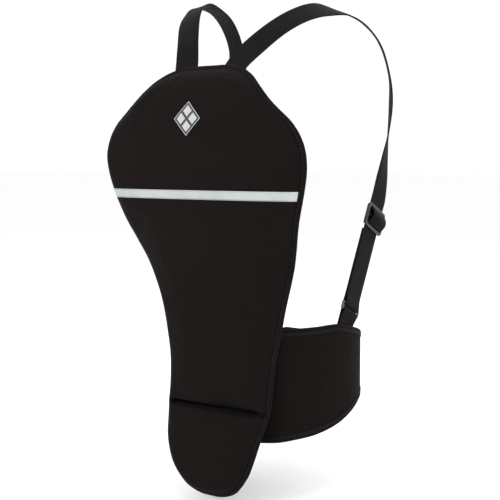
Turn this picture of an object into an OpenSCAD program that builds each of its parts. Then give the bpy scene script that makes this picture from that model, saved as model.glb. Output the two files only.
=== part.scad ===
// Back protector: a padded spine panel with a hinged tail, two elastic shoulder straps
// with sliding adjusters, and a lumbar belt that closes at the front.
// +Z is up, +Y points towards the wearer, and the outside of the panel faces -Y.
// The origin is on the lining, on the spine line, at the height of the waist.

/* [Panel] */
// Height of the panel's top edge above the waist
panel_top = 348; // [342:1:352]
// Height of the crease between the main panel and the tail
crease_z = -72; // [-76:1:-66]
// Total thickness of the padded panel
panel_t = 16; // [15:0.5:18]
// Radius of the panel's curve across the back
back_r = 1300; // [1000:50:1600]
// Thickness of the cover's bonded knit fabric
cover_t = 2.5; // [2:0.1:2.7]
// Width of the rounded shoulder along the cover's edge
edge_round = 14; // [12:1:16]
// How far the edge binding stands out from the cover
binding_w = 4.5; // [3:0.5:5]

/* [Markings] */
// Height of the reflective stripe's middle above the waist
stripe_z = 196; // [185:1:205]
// Width of the reflective stripe
stripe_w = 11; // [8:0.5:12]
// Height of the emblem's middle above the waist
emblem_z = 287; // [280:1:295]
// Full width and height of the diamond emblem
emblem_size = [40, 41]; // [30:1:46]

/* [Straps] */
// Width of the elastic webbing
webbing_w = 35; // [30:1:36]
// Thickness of the elastic webbing
webbing_t = 1.8; // [1.4:0.1:2]
// Lean of the lower strap from the vertical, towards the chest
strap_lean = 27; // [25:0.5:28]
// Distance of the adjuster above the belt loop's lower bar
adjuster_h = 131; // [122:1:133]

/* [Belt] */
// Thickness of the elastic belt
belt_t = 4; // [3:0.5:4.5]
// How far each end of the belt passes the middle of the front
belt_overlap = 38; // [30:1:42]
// Width of the hem tape on the belt's edges
hem_w = 9; // [7:1:11]

/* [Hidden] */

fit_gap = 0.4;       // clearance between neighbouring soft layers
crease_gap = 4;      // open width of the crease at the lining
panel_low = -180;    // tip of the tail

// Half width of the panel at each height, from the tip of the tail to the top edge.
main_edge = [[crease_z, 76], [-20, 78], [20, 85], [60, 94], [97, 106], [133, 119],
             [169, 132], [205, 144], [232, 149], [255, 146], [277, 133], [300, 107],
             [322, 84], [334, 70], [342, 55], [panel_top, 36]];
tail_edge = [[panel_low, 12], [-178, 22], [-173, 34], [-165, 43], [-155, 51], [-143, 58],
             [-119, 66], [-95, 71], [crease_z, 76]];

// Forward offset of the lining's spine line at each height.
spine = [[panel_low, -19], [-150, -23], [-115, -20], [-68, -6], [-35, -2], [0, 0], [45, 0],
         [80, -3], [110, -9], [135, -19], [165, -32], [205, -42], [250, -48], [300, -47],
         [325, -39], [panel_top, -23]];

// Path of the belt's middle line at the waist, from the spine to the middle of the front.
belt_path = [[0, 2.5], [40, 4], [72, 13], [90, 28], [108, 52], [120, 82], [124, 111],
             [118, 139], [98, 162], [58, 175], [0, 179], [-58, 175],
             [-98, 162]];
// Heights of the belt's bottom and top edges at the same points.
belt_low = [-114, -115, -113, -110, -105, -96, -83, -71, -66, -64, -62, -64, -66];
belt_high = [28, 28, 29, 30, 31, 32, 26, 18, 10, 4, 2, 4, 10];

// Route of a shoulder strap's middle line from the panel's top over the shoulder.
strap_route = [[34, -41.6, 308], [34.3, -33.9, 328], [35, -19.8, 347], [42, 3, 370],
               [58, 35, 398], [72, 67, 417],
               [83, 101, 427], [92, 137, 426], [101, 175, 415], [109, 206, 390],
               [114, 223, 350], [116, 224, 312], [117, 216, 271], [117.5, 207, 240],
               [117.5, 199, 212]];
// Direction that the strap's outer face looks in, at the same points.
strap_facing = [[0, -1, 0.3], [0, -1, 0.5], [0, -1, 0.6], [0.15, -0.9, 0.6], [0.25, -0.75, 0.8],
                [0.35, -0.65, 0.85], [0.45, -0.5, 0.85], [0.36, 0.06, 0.93],
                [0.58, 0.27, 0.75], [0.78, 0.42, 0.46], [0.85, 0.51, 0.15], [0.81, 0.59, 0],
                [0.85, 0.5, 0], [0.95, 0.3, 0], [1, 0.1, 0]];
// How far the left strap stands outwards, forwards and up from this route.
left_shift = [[2.5, 0, 0], [3, 0, 0], [4, 0, 1], [8, -6, 14], [9, -13, 17], [9, -16, 16],
              [9, -17, 15], [7, -9, 10], [7.5, -9, 0], [7.5, -15.5, -7], [12, -25, -2],
              [9, -20, 0], [3, -8, 0], [0, 0, 0], [0, 0, 0]];
// How far its outer face is turned inwards at the same points, as a change of direction.
left_turn = [[0, 0, 0], [0, 0, 0], [0, 0, 0], [0, 0, 0], [0, 0, 0], [-0.1, 0.1, 0],
             [-0.4, 0.4, 0.1], [-0.55, 0.7, 0.05], [-0.85, 0.5, -0.15], [-1.05, 0.4, -0.05],
             [-0.5, 0.3, -0.05], [-0.2, 0.1, 0], [0, 0, 0], [0, 0, 0], [0, 0, 0]];

// The lower bar of the belt loop, which the lower strap swings about.
loop_pivot = [117.5, 117, 43];
lower_run = 148;     // length of the lower strap, from the loop up past the adjuster

// ---------- curves ----------

// Point t (0 to 1) of the Catmull-Rom span from b to c.
function span(a, b, c, d, t) =
  0.5 * (2 * b + (c - a) * t + (2 * a - 5 * b + 4 * c - d) * t * t
         + (3 * b - a - 3 * c + d) * t * t * t);

// A list's item, with the ends held.
function item(list, i) = list[min(max(i, 0), len(list) - 1)];

// Point at position s (0 to len - 1) along a smooth curve through a list.
function along(list, s) =
  let (i = min(floor(s), len(list) - 2), t = s - i)
  span(item(list, i - 1), item(list, i), item(list, i + 1), item(list, i + 2), t);

// Value at z in a table of [z, value] rows, joined by smooth steps of equal slope.
function slope(table, i) =
  let (a = item(table, i - 1), b = item(table, i + 1)) (b[1] - a[1]) / (b[0] - a[0]);
function at(table, z) =
  let (i = min(len(table) - 2, max(0, len([for (row = table) if (row[0] <= z) 1]) - 1)),
       a = table[i], b = table[i + 1], h = b[0] - a[0], t = (z - a[0]) / h)
  (1 + 2 * t) * (1 - t) * (1 - t) * a[1] + t * (1 - t) * (1 - t) * h * slope(table, i)
  + t * t * (3 - 2 * t) * b[1] + t * t * (t - 1) * h * slope(table, i + 1);

function unit(v) = v / norm(v);

// A place on the panel, at a height above the lining towards the outside.
function place(x, z, rise) = [x, at(spine, z) + x * x / (2 * back_r) - rise, z];

// ---------- solids from rings of points ----------

// Triangles that join ring i to ring i + 1, each of n points.
function band(i, n) =
  [for (j = [0 : n - 1])
     let (k = (j + 1) % n, a = i * n + j, b = i * n + k, c = a + n, d = b + n)
     each [[a, b, d], [a, d, c]]];

// A solid through open-ended rings, with fan caps at its ends.
module loft(rings) {
  n = len(rings[0]);
  m = len(rings);
  polyhedron(
    points = [for (ring = rings) each ring],
    faces = [for (i = [0 : m - 2]) each band(i, n),
             for (j = [1 : n - 2]) [0, j + 1, j],
             for (j = [1 : n - 2]) [(m - 1) * n, (m - 1) * n + j, (m - 1) * n + j + 1]],
    convexity = 6);
}

// A solid from its back face to its front face, whose end rings close on themselves.
module pillow(rings) {
  n = len(rings[0]);
  polyhedron(
    points = [for (i = [len(rings) - 1 : -1 : 0]) each rings[i]],
    faces = [for (i = [0 : len(rings) - 2]) each band(i, n)],
    convexity = 6);
}

// ---------- outline rings of the two panels ----------

side_n = 19;         // points up each side of an outline
end_n = 4;           // points across each end of an outline

function side_z(low, high, i) =
  let (t = i / (side_n - 1)) low + (high - low) * (0.5 - 0.5 * cos(180 * t));

// Points [x, z] round an outline: up the right side, over the top and down the left.
function outline(edge, low, high) = [
  for (i = [0 : side_n - 1]) let (z = side_z(low, high, i)) [at(edge, z), z],
  for (j = [1 : end_n]) [at(edge, high) * (1 - 2 * j / (end_n + 1)), high],
  for (i = [side_n - 1 : -1 : 0]) let (z = side_z(low, high, i)) [-at(edge, z), z],
  for (j = [1 : end_n]) [-at(edge, low) * (1 - 2 * j / (end_n + 1)), low]];

// The outline drawn in by a distance, towards a line up its middle. Past the core distance,
// d goes on as a percentage of the way that is left.
core_d = 40;
function inset(points, low, high, d) =
  let (reach = min(70, (high - low) / 2.2))
  [for (p = points)
     let (s = [0, min(max(p[1], low + reach), high - reach)], v = s - p,
          way = d <= core_d ? d : core_d + (norm(v) - core_d) * (d - core_d) / 100)
     d >= far ? s : p + v * way / norm(v)];

// One ring on the panel's curve.
function ring(points, low, high, d, rise) =
  [for (p = inset(points, low, high, d)) place(p[0], p[1], rise)];

far = core_d + 100;  // an inset that reaches the middle from anywhere
shared_d = [26, core_d, 70, 100, far];

// Rise of the cover's outer face at a distance in from its edge.
function cover_rise(d, t) =
  let (u = min(1, d / edge_round)) cover_base + (t - cover_base) * sqrt(1 - (1 - u) * (1 - u));
cover_base = 2.8;

// A flat layer of the panel between two rises, drawn in from the outline.
module layer(edge, low, high, margin, rise_low, rise_high, bevel = 0) {
  o = outline(edge, low, high);
  mid = (rise_low + rise_high) / 2;
  pillow([
    for (i = [len(shared_d) - 1 : -1 : 0]) ring(o, low, high, shared_d[i], rise_low),
    ring(o, low, high, margin, rise_low),
    ring(o, low, high, margin, bevel > 0 ? mid : rise_high),
    if (bevel > 0) ring(o, low, high, margin + bevel, rise_high),
    for (d = shared_d) ring(o, low, high, d, rise_high)]);
}

// The cover: a shell that is open towards the lining, with a rounded shoulder.
module cover(edge, low, high) {
  o = outline(edge, low, high);
  inner_t = panel_t - cover_t;
  pillow([
    for (i = [len(shared_d) - 1 : -1 : 0]) ring(o, low, high, shared_d[i], inner_t),
    ring(o, low, high, edge_round, inner_t),
    ring(o, low, high, 6, cover_rise(6 - cover_t, inner_t)),
    ring(o, low, high, cover_t + 0.5, cover_base + 2),
    ring(o, low, high, cover_t, cover_base),
    ring(o, low, high, 0, cover_base),
    for (d = [0.6, 2.5, 6, edge_round]) ring(o, low, high, d, cover_rise(d, panel_t)),
    for (d = shared_d) ring(o, low, high, d, panel_t)]);
}

// The binding: a rounded tape that follows an outline's sides and outer end.
module binding(edge, z_from, z_to, turn) {
  count = 26;
  up = [for (i = [0 : count])
          let (t = i / count, z = z_from + (z_to - z_from) * sin(90 * t)) [at(edge, z), z]];
  across = [for (j = [1 : end_n]) [at(edge, z_to) * (1 - 2 * j / (end_n + 1)), z_to]];
  down = [for (i = [count : -1 : 0]) [-up[i][0], up[i][1]]];
  path = concat(up, across, down);
  out_w = binding_w;
  tape = [[0.6, 5.4], [out_w * 0.75, 4.8], [out_w, 2.4], [out_w * 0.75, 0], [0.6, -0.6]];
  last = len(path) - 1;
  rings = [for (i = [0 : last])
    let (d = unit(path[min(i + 1, last)] - path[max(i - 1, 0)]), out = [d[1], -d[0]] * turn)
    [for (c = tape)
       let (p = path[i] + out * c[0])
       [p[0], place(path[i][0], path[i][1], c[1])[1], p[1]]]];
  loft(turn < 0 ? rings : [for (r = rings) [for (k = [len(r) - 1 : -1 : 0]) r[k]]]);
}

// ---------- ribbons ----------

// A flat band along points, with its outer face looking the way that facing says.
module ribbon(points, facing, width, thick) {
  last = len(points) - 1;
  rings = [for (i = [0 : last])
    let (d = unit(points[min(i + 1, last)] - points[max(i - 1, 0)]),
         side = unit(cross(d, facing[i])), out = unit(cross(side, d)))
    [for (c = [[1, 1], [1, -1], [-1, -1], [-1, 1]])
       points[i] + side * c[0] * width / 2 + out * c[1] * thick / 2]];
  loft([for (r = rings) [for (k = [3 : -1 : 0]) r[k]]]);
}

// Draws its children on the right, or mirrored on the left.
module on_side(side) {
  mirror([side < 0 ? 1 : 0, 0, 0]) children();
}

// ---------- main panel ----------

main_low = crease_z + crease_gap / 2;
tail_high = crease_z - crease_gap / 2;

module front_cover() {
  color([0.09, 0.08, 0.08]) cover(main_edge, main_low, panel_top);
}

module back_lining() {
  color([0.13, 0.13, 0.13]) layer(main_edge, main_low, panel_top, 0, 0, 2.3);
}

module comfort_foam() {
  color([0.45, 0.45, 0.47]) layer(main_edge, main_low, panel_top, 6, 3.2, 5.3);
}

module stiffener_plate() {
  color([0.75, 0.75, 0.72]) layer(main_edge, main_low, panel_top, 16, 5.8, 6.9);
}

module impact_core() {
  color([0.85, 0.55, 0.15])
    layer(main_edge, main_low, panel_top, 12, 7.6, panel_t - cover_t - 0.7, 8);
}

module edge_binding() {
  color([0.05, 0.05, 0.05]) binding(main_edge, main_low, panel_top, 1);
}

mark_gap = 0.35;     // clearance under a mark on the cover
mark_t = 0.4;        // thickness of a mark

// A thin mark that lies on the cover's flat part, between two lines of [x, z].
module on_cover(bottom, top) {
  rise = panel_t + 3.4 * mark_gap;
  loft([for (i = [0 : len(top) - 1])
    let (b = bottom[i], t = top[i])
    [place(b[0], b[1], rise), place(b[0], b[1], rise + mark_t),
     place(t[0], t[1], rise + mark_t), place(t[0], t[1], rise)]]);
}

// The stripe crosses the flat part and turns down over the cover's shoulders.
module reflective_stripe() {
  turns = [78, 60, 42, 26];
  function station(z, i) =
    let (side = i < 4 ? -1 : i > 12 ? 1 : 0, flat_x = at(main_edge, z) - edge_round,
         a = side < 0 ? turns[3 - i] : side > 0 ? turns[i - 13] : 90)
    [flat_x * (side == 0 ? (i - 8) / 4 : side) + side * edge_round * cos(a),
     (panel_t - cover_base) * (sin(a) - 1), side * cos(a), sin(a)];
  function spot(z, i, out) =
    let (p = station(z, i), r = mark_gap + out)
    place(p[0] + p[2] * r, z, panel_t + p[1] + p[3] * r);
  low = stripe_z - stripe_w / 2;
  high = stripe_z + stripe_w / 2;
  color([0.72, 0.74, 0.74])
    loft([for (i = [0 : 16])
      [spot(low, i, 0), spot(low, i, mark_t), spot(high, i, mark_t), spot(high, i, 0)]]);
}

module emblem_patch() {
  steps = 12;
  tip = 0.4;
  xs = [for (i = [0 : steps]) emblem_size[0] * (i / steps - 0.5)];
  function half(x) = tip + (emblem_size[1] / 2 - tip) * (1 - 2 * abs(x) / emblem_size[0]);
  color([0.8, 0.8, 0.8])
    on_cover([for (x = xs) [x, emblem_z - half(x)]], [for (x = xs) [x, emblem_z + half(x)]]);
}

// A fabric strip on the lining's inner side, along the crease.
module flex_strip() {
  steps = 14;
  color([0.1, 0.1, 0.1])
    loft([for (i = [0 : steps])
      let (x = 62 * (2 * i / steps - 1), low = main_low + 0.2, high = main_low + 12)
      [place(x, low, -1.4), place(x, low, -0.3), place(x, high, -0.3), place(x, high, -1.4)]]);
}

// ---------- tail ----------

module tail_cover() {
  color([0.09, 0.08, 0.08]) cover(tail_edge, panel_low, tail_high);
}

module tail_lining() {
  color([0.13, 0.13, 0.13]) layer(tail_edge, panel_low, tail_high, 0, 0, 2.5);
}

module tail_plate() {
  color([0.75, 0.75, 0.72]) layer(tail_edge, panel_low, tail_high, 14, 2.9, 4.1);
}

module tail_core() {
  color([0.85, 0.55, 0.15])
    layer(tail_edge, panel_low, tail_high, 10, 4.5, panel_t - cover_t - 0.4, 8);
}

module tail_binding() {
  color([0.05, 0.05, 0.05]) binding(tail_edge, tail_high, panel_low, -1);
}

// ---------- shoulder straps ----------

// The direction of the lower strap, upwards, and its place at a distance up it.
lower_up = [0, sin(strap_lean), cos(strap_lean)];
function lower_at(h) = loop_pivot + lower_up * h;

// The full route: the shoulder's points, then a straight lead into the lower strap.
function full_route(side) = concat(
  [for (i = [0 : len(strap_route) - 1]) strap_route[i] + (side < 0 ? left_shift[i] : [0, 0, 0])],
  [for (h = [16, 8, fit_gap]) lower_at(lower_run + h)]);
function full_facing(side) = concat(
  [for (i = [0 : len(strap_facing) - 1])
     strap_facing[i] + (side < 0 ? left_turn[i] : [0, 0, 0])],
  [[1, 0, 0], [1, 0, 0], [1, 0, 0]]);
strap_steps = 3;

module shoulder_strap(side) {
  route = full_route(side);
  last = (len(route) - 1) * strap_steps;
  color([0.1, 0.09, 0.09])
    on_side(side)
      ribbon([for (i = [0 : last]) along(route, i / strap_steps)],
             [for (i = [0 : last]) along(full_facing(side), i / strap_steps)],
             webbing_w, webbing_t);
}

module shoulder_strap_right() { shoulder_strap(1); }
module shoulder_strap_left() { shoulder_strap(-1); }

// Two squares of reinforcing fabric over the straps' sewn ends.
module strap_anchor_patches() {
  stack = webbing_t + fit_gap;
  color([0.07, 0.07, 0.07])
    for (side = [1, -1])
      on_side(side)
        ribbon([for (s = [0 : 0.25 : 1])
                 along(full_route(1), s) - unit(along(full_facing(1), s)) * stack],
               [for (s = [0 : 0.25 : 1]) along(full_facing(1), s)],
               webbing_w + 7, 1.2);
}

// ---------- strap hardware ----------

loop_rod = 1.5;      // radius of the belt loop's rod
loop_h = 7.3;        // distance between the belt loop's bars
frame_w = webbing_w + 10;
frame_h = 32;
frame_t = 3;
bar_h = 4;

// Places its children in the lower strap's frame: X outwards, Y across, Z up the strap.
module in_strap_frame(side) {
  on_side(side) translate(loop_pivot) rotate([-strap_lean, 0, 0]) children();
}

// A round bar across the strap at a height.
module cross_bar(h, length, radius) {
  translate([0, length / 2, h]) rotate([90, 0, 0]) cylinder(h = length, r = radius, $fn = 32);
}

// The rectangular loop that joins the strap to the belt.
module belt_loop(side) {
  length = webbing_w + 6;
  color([0.25, 0.25, 0.26])
    in_strap_frame(side) {
      for (h = [0, loop_h]) cross_bar(h, length, loop_rod);
      for (y = [-1, 1])
        translate([0, y * length / 2, 0]) {
          cylinder(h = loop_h, r = loop_rod, $fn = 32);
          for (h = [0, loop_h]) translate([0, 0, h]) sphere(r = loop_rod, $fn = 32);
        }
    }
}

module belt_loop_right() { belt_loop(1); }
module belt_loop_left() { belt_loop(-1); }

// A tube of webbing wrapped round a bar, open through its middle.
module webbing_wrap(h, inner) {
  difference() {
    cross_bar(h, webbing_w, inner + webbing_t);
    cross_bar(h, webbing_w + 2, inner);
  }
}

wrap_gap = 0.05;     // clearance of a webbing wrap on its bar

// The lower strap: a wrap round the loop's upper bar and two runs of webbing above it.
module lower_strap(side) {
  inner = loop_rod + wrap_gap;
  start = loop_h + inner + 0.3;
  color([0.1, 0.09, 0.09])
    in_strap_frame(side) {
      webbing_wrap(loop_h, inner);
      translate([-webbing_t / 2, -webbing_w / 2, start])
        cube([webbing_t, webbing_w, lower_run - start]);
      translate([-webbing_t * 1.5 - fit_gap / 2, -webbing_w / 2, start + 1])
        cube([webbing_t, webbing_w, adjuster_h - start - 1]);
    }
}

module lower_strap_right() { lower_strap(1); }
module lower_strap_left() { lower_strap(-1); }

frame_x = webbing_t / 2 + 0.3;   // the adjuster's bars lie just outside the strap

// The three-bar adjuster that slides on the strap.
module adjuster(side) {
  rail = 4;
  color([0.22, 0.22, 0.23])
    in_strap_frame(side)
      translate([frame_x, 0, adjuster_h]) {
        for (y = [-1, 1])
          translate([-2, y * (frame_w - rail) / 2 - rail / 2, -frame_h / 2])
            cube([frame_t + 2, rail, frame_h]);
        for (z = [-1, 1])
          translate([0, -frame_w / 2, z * (frame_h - bar_h) / 2 - bar_h / 2])
            cube([frame_t, frame_w, bar_h]);
        translate([frame_t / 2, 0, 0]) cross_bar(0, frame_w - 1, 1.5);
      }
}

module adjuster_right() { adjuster(1); }
module adjuster_left() { adjuster(-1); }

// The webbing that bulges over the adjuster's middle bar.
module slider_webbing(side) {
  half = frame_h / 2 - bar_h - 0.5;
  bow = 4.5;
  dip = 1.3;
  steps = 16;
  color([0.1, 0.09, 0.09])
    in_strap_frame(side)
      translate([frame_x + 3.1, 0, adjuster_h])
        loft([for (i = [0 : steps])
          let (t = 2 * i / steps - 1, z = t * half, x = bow * (1 - t * t) - dip * t * t)
          [[x, webbing_w / 2, z], [x + webbing_t, webbing_w / 2, z],
           [x + webbing_t, -webbing_w / 2, z], [x, -webbing_w / 2, z]]]);
}

module slider_webbing_right() { slider_webbing(1); }
module slider_webbing_left() { slider_webbing(-1); }

// The webbing tab that holds the loop's lower bar and is sewn inside the belt.
module strap_tab(side) {
  inner = loop_rod + wrap_gap;
  depth = 46;
  color([0.1, 0.09, 0.09])
    in_strap_frame(side) {
      webbing_wrap(0, inner);
      translate([-inner - webbing_t, -webbing_w / 2, -depth])
        cube([webbing_t, webbing_w, depth]);
    }
}

module strap_tab_right() { strap_tab(1); }
module strap_tab_left() { strap_tab(-1); }

// ---------- belt ----------

hinge_s = 6.35;      // where the belt's front ends bend away, along its path
belt_steps = 3;      // rings to each span of the path

lap_shift = 3.6;     // how far each end moves out of the other's way at the front
s_middle = 10;       // the path's position at the middle of the front
s_tip = s_middle + belt_overlap / 60;
s_lap = 9.2;         // where the ends have moved out of each other's way

// How far the belt's middle line lies outside its path: way is 1, 0 or -1.
function lap(s, way) =
  let (t = min(1, max(0, (s - hinge_s) / (s_lap - hinge_s)))) way * lap_shift * t * t * (3 - 2 * t);

// One ring of the belt at position s, with its middle line moved outwards by shift.
function belt_ring(s, shift, low, high, thick) =
  let (p = along(belt_path, s), d = unit(along(belt_path, s + 0.02) - along(belt_path, s - 0.02)),
       out = [d[1], -d[0]], a = p + out * (shift - thick / 2), b = p + out * (shift + thick / 2))
  [[a[0], a[1], low], [b[0], b[1], low], [b[0], b[1], high], [a[0], a[1], high]];

// A stretch of the belt between two positions, drawn in from both edges by margin.
module belt_band(from, to, way, out, thick, margin = 0) {
  count = max(2, ceil((to - from) * belt_steps));
  loft([for (i = [0 : count])
    let (s = from + (to - from) * i / count)
    belt_ring(s, lap(s, way) + out, along(belt_low, s) + margin, along(belt_high, s) - margin,
              thick)]);
}

module belt_back_panel() {
  color([0.08, 0.08, 0.08]) {
    loft([for (i = [0 : 16])
      let (x = 64 * (i / 8 - 1), near = 3.2, far_side = 3.2 + 3)
      [[x, at_lining(x) + near, -112], [x, at_lining(x) + near, 26],
       [x, at_lining(x) + far_side, 26], [x, at_lining(x) + far_side, -112]]]);
  }
}

// The lining's most forward point behind the belt, at x.
function at_lining(x) = x * x / (2 * back_r);

module belt_side(side) {
  color([0.08, 0.08, 0.08])
    on_side(side) belt_band(1.78, hinge_s, 0, 0, belt_t);
}

module belt_side_right() { belt_side(1); }
module belt_side_left() { belt_side(-1); }

// The hem tapes on the outside of a stretch's top and bottom edges.
module belt_hems(from, to, way) {
  skin = belt_t / 2 + 0.6;
  count = max(2, ceil((to - from) * belt_steps));
  for (edge = [0, 1])
    loft([for (i = [0 : count])
      let (s = from + (to - from) * i / count,
           low = edge == 0 ? along(belt_low, s) : along(belt_high, s) - hem_w)
      belt_ring(s, lap(s, way) + skin, low, low + hem_w, 0.8)]);
}

module belt_hem_side(side) {
  color([0.05, 0.05, 0.05]) on_side(side) belt_hems(2.1, hinge_s, 0);
}

module belt_hem_side_right() { belt_hem_side(1); }
module belt_hem_side_left() { belt_hem_side(-1); }

hinge_gap = 0.02;    // gap at the bend, in units of the path

module belt_front_right() {
  color([0.08, 0.08, 0.08]) belt_band(hinge_s + hinge_gap, s_tip, 1, 0, belt_t);
}

module belt_front_left() {
  color([0.08, 0.08, 0.08]) on_side(-1) belt_band(hinge_s + hinge_gap, s_tip, -1, 0, belt_t);
}

module belt_hem_front_right() {
  color([0.05, 0.05, 0.05]) belt_hems(hinge_s + hinge_gap, s_tip, 1);
}

module belt_hem_front_left() {
  color([0.05, 0.05, 0.05]) on_side(-1) belt_hems(hinge_s + hinge_gap, s_tip, -1);
}

patch_t = 1.2;       // thickness of each half of the hook-and-loop closure
patch_out = belt_t / 2 + 0.2 + patch_t / 2;
s_patch = 9.4;       // where the closure's two halves begin

// Hooks on the inner face of the right end.
module hook_patch() {
  color([0.03, 0.03, 0.03])
    belt_band(s_patch, s_tip - 0.05, 1, -patch_out, patch_t, hem_w + 1);
}

// Pile on the outer face of the left end.
module loop_patch() {
  color([0.12, 0.12, 0.12])
    on_side(-1) belt_band(s_patch, s_tip - 0.05, -1, patch_out, patch_t, hem_w + 1);
}

// ---------- drawing ----------

front_cover();
back_lining();
edge_binding();
reflective_stripe();
emblem_patch();
impact_core();
stiffener_plate();
comfort_foam();
strap_anchor_patches();
flex_strip();
tail_cover();
tail_lining();
tail_binding();
tail_core();
tail_plate();
shoulder_strap_right();
shoulder_strap_left();
strap_tab_right();
strap_tab_left();
belt_loop_right();
belt_loop_left();
lower_strap_right();
lower_strap_left();
adjuster_right();
adjuster_left();
slider_webbing_right();
slider_webbing_left();
belt_back_panel();
belt_side_right();
belt_side_left();
belt_hem_side_right();
belt_hem_side_left();
belt_front_right();
belt_front_left();
belt_hem_front_right();
belt_hem_front_left();
hook_patch();
loop_patch();
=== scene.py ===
import math
import bmesh
import bpy
import numpy as np
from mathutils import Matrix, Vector
from mathutils.bvhtree import BVHTree
from mathutils.noise import noise


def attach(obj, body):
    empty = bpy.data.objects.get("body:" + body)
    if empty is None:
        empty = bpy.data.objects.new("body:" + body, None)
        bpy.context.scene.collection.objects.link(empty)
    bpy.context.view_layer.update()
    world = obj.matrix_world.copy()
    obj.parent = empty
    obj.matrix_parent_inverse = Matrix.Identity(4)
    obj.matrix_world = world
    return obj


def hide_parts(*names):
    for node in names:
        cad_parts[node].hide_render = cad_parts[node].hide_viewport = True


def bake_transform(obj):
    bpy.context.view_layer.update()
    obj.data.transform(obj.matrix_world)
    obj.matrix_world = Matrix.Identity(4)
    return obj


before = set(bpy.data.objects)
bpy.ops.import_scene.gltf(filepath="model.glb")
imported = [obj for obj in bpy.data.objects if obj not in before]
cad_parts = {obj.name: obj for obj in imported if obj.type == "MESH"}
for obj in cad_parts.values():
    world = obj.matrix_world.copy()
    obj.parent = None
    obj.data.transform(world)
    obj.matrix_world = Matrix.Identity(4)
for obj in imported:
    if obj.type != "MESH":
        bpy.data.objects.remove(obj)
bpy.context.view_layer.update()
MM = 0.001

# ---------- the design, in millimetres

PANEL_TOP, CREASE, PANEL_LOW, GAP = 348, -72, -180, 4
PANEL_T, BACK_R, EDGE_ROUND, BASE = 16, 1300, 14, 2.8
STRIPE_Z, STRIPE_W, EMBLEM_Z = 196, 11, 287
MAIN_EDGE = [(CREASE, 76), (-20, 78), (20, 85), (60, 94), (97, 106), (133, 119), (169, 132),
             (205, 144), (232, 149), (255, 146), (277, 133), (300, 107), (322, 84), (334, 70),
             (342, 55), (PANEL_TOP, 36)]
TAIL_EDGE = [(PANEL_LOW, 12), (-178, 22), (-173, 34), (-165, 43), (-155, 51), (-143, 58),
             (-119, 66), (-95, 71), (CREASE, 76)]
SPINE = [(PANEL_LOW, -19), (-150, -23), (-115, -20), (-68, -6), (-35, -2), (0, 0), (45, 0),
         (80, -3), (110, -9), (135, -19), (165, -32), (205, -42), (250, -48), (300, -47),
         (325, -39), (PANEL_TOP, -23)]
BELT_PATH = [(0, 5), (40, 5.6), (72, 13), (90, 28), (108, 52), (120, 82), (124, 111),
             (118, 139), (98, 162), (58, 175), (0, 179), (-58, 175), (-98, 162)]
BELT_LOW = [-114, -115, -113, -110, -105, -96, -83, -71, -66, -64, -62, -64, -66]
BELT_HIGH = [28, 28, 29, 30, 31, 32, 26, 18, 10, 4, 2, 4, 10]
STRAP_ROUTE = [(34, -41.6, 308), (34.3, -33.9, 328), (35, -19.8, 347), (42, 3, 370),
               (58, 35, 398), (72, 67, 417), (83, 101, 427), (92, 137, 426), (101, 175, 415),
               (109, 206, 390), (114, 223, 350), (116, 224, 312), (117, 216, 271),
               (117.5, 207, 240), (117.5, 199, 212)]
STRAP_FACING = [(0, -1, 0.3), (0, -1, 0.5), (0, -1, 0.6), (0.15, -0.9, 0.6), (0.25, -0.75, 0.8),
                (0.35, -0.65, 0.85), (0.45, -0.5, 0.85), (0.36, 0.06, 0.93), (0.58, 0.27, 0.75),
                (0.78, 0.42, 0.46), (0.85, 0.51, 0.15), (0.81, 0.59, 0), (0.85, 0.5, 0),
                (0.95, 0.3, 0), (1, 0.1, 0)]
LEFT_SHIFT = [(2.5, 0, 0), (3, 0, 0), (4, 0, 1), (8, -6, 14), (9, -13, 17), (9, -16, 16),
              (9, -17, 15), (7, -9, 10), (7.5, -9, 0), (7.5, -15.5, -7), (12, -25, -2),
              (9, -20, 0), (3, -8, 0), (0, 0, 0), (0, 0, 0)]
LEFT_TURN = [(0, 0, 0), (0, 0, 0), (0, 0, 0), (0, 0, 0), (0, 0, 0), (-0.1, 0.1, 0),
             (-0.4, 0.4, 0.1), (-0.55, 0.7, 0.05), (-0.85, 0.5, -0.15), (-1.05, 0.4, -0.05),
             (-0.5, 0.3, -0.05), (-0.2, 0.1, 0), (0, 0, 0), (0, 0, 0), (0, 0, 0)]
LOOP_PIVOT, LEAN, LOWER_RUN, ADJUSTER_H = (117.5, 117, 43), math.radians(27), 148, 131
WEB_W, WEB_T, LOOP_H = 35, 1.8, 7.3
WRAP_R = 2.45       # of the webbing's middle line round a bar of the belt loop
HINGE_S, LAP_S, TIP_S = 6.35, 9.2, 10 + 38 / 60


# ---------- curves

def item(values, i):
    return values[min(max(i, 0), len(values) - 1)]


def along(values, s):
    """Point at position s (0 to len - 1) of a smooth curve through the values."""
    i = min(int(s), len(values) - 2)
    t = s - i
    a, b, c, d = (item(values, i + k) for k in (-1, 0, 1, 2))

    def one(a, b, c, d):
        return 0.5 * (2 * b + (c - a) * t + (2 * a - 5 * b + 4 * c - d) * t * t
                      + (3 * b - a - 3 * c + d) * t ** 3)
    if isinstance(b, (int, float)):
        return one(a, b, c, d)
    return tuple(one(*v) for v in zip(a, b, c, d))


def at(table, z):
    """Value at z in a table of (z, value) rows."""
    i = min(len(table) - 2, max(0, sum(1 for row in table if row[0] <= z) - 1))
    a, b = table[i], table[i + 1]
    h = b[0] - a[0]
    t = (z - a[0]) / h

    def slope(k):
        p, q = item(table, k - 1), item(table, k + 1)
        return (q[1] - p[1]) / (q[0] - p[0])
    return ((1 + 2 * t) * (1 - t) ** 2 * a[1] + t * (1 - t) ** 2 * h * slope(i)
            + t * t * (3 - 2 * t) * b[1] + t * t * (t - 1) * h * slope(i + 1))


def place(x, z, rise):
    """A place on the panel, at a height above the lining towards the outside."""
    return (x, at(SPINE, z) + x * x / (2 * BACK_R) - rise, z)


def smooth(t):
    t = min(1, max(0, t))
    return t * t * (3 - 2 * t)


# ---------- mesh helpers

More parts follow.
